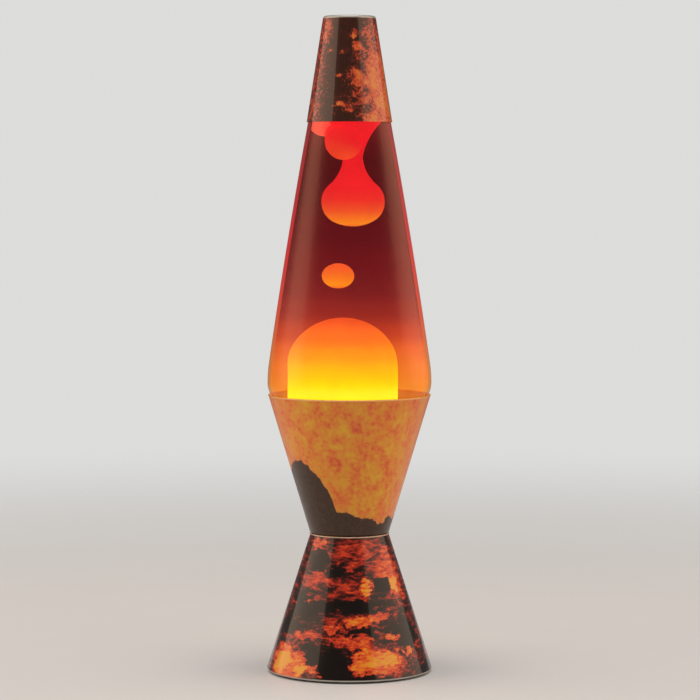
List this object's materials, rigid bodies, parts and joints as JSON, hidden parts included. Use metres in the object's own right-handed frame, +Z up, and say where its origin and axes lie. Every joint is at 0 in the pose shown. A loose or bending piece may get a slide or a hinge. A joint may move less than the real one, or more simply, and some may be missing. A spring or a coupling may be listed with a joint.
{
  "type": "lava lamp",
  "caption": "Lava lamp with a tapered liquid-filled glass globe on an hourglass metal base, a metal cap, and a bulb that unscrews from a socket in the foot.",
  "frame": {"origin": "middle of the base on the table top", "axes": "+Z up along the lamp's axis, towards the cap; -Y is the front; the cord bushing is on the +Y side"},
  "size_m": [0.093, 0.093, 0.3683],
  "materials": {
    "foot_print": "gloss lacquer over a dark rock and molten streak print",
    "cup_print": "gloss lacquer over a mottled orange and dark rock print",
    "cap_print": "gloss lacquer over a dark print with red specks",
    "plated_steel": "zinc plated",
    "phenolic": "moulded, dark brown",
    "brass": "bright",
    "bottom_moulding": "moulded, fine grain",
    "rubber_black": "matt",
    "bushing_black": "moulded, satin",
    "bulb_clear": "clear",
    "shell_nickel": "nickel washed",
    "vitrite": "black glass insulator",
    "solder": "dull",
    "lead_wire": "drawn",
    "tungsten": "coiled",
    "tinted_glass": "clear glass tinted from orange to red",
    "crown_steel": "tin plated",
    "liner": "soft",
    "clear_liquid": "clear liquid",
    "wax": "translucent wax, lit from below",
    "coil_wire": "drawn"
  },
  "bodies": {
    "base": {"foot_cone": "foot_print", "cup_cone": "cup_print", "socket_bracket": "plated_steel", "socket_body": "phenolic", "socket_shell": "brass", "socket_contact": "brass", "socket_terminals": "brass", "socket_screw": "plated_steel", "bottom_plate": "bottom_moulding", "rubber_feet": "rubber_black", "cord_bushing": "bushing_black"},
    "bulb": {"bulb_glass": "bulb_clear", "bulb_screw_shell": "shell_nickel", "bulb_insulator": "vitrite", "bulb_contact": "solder", "bulb_stem": "bulb_clear", "bulb_leads": "lead_wire", "bulb_filament": "tungsten"},
    "globe": {"globe_glass": "tinted_glass", "crown_closure": "crown_steel", "crown_liner": "liner", "clear_fluid": "clear_liquid", "wax_mound": "wax", "wax_upper": "wax", "wax_coil": "coil_wire"},
    "free_drop": {"wax_drop": "wax"},
    "cap": {"cap_cone": "cap_print"}
  },
  "joints": [
    {"name": "globe_lift", "type": "slide", "parent": "base", "child": "globe", "axis": [0, 0, 1], "range_m": [0, 0.26]},
    {"name": "cap_lift", "type": "slide", "parent": "globe", "child": "cap", "axis": [0, 0, 1], "range_m": [0, 0.07]},
    {"name": "bulb_unscrew", "type": "slide", "parent": "base", "child": "bulb", "axis": [0, 0, 1], "range_m": [0, 0.0112]},
    {"name": "drop_rise", "type": "slide", "parent": "globe", "child": "free_drop", "axis": [0, 0, 1], "range_m": [-0.012, 0.016]}
  ]
}
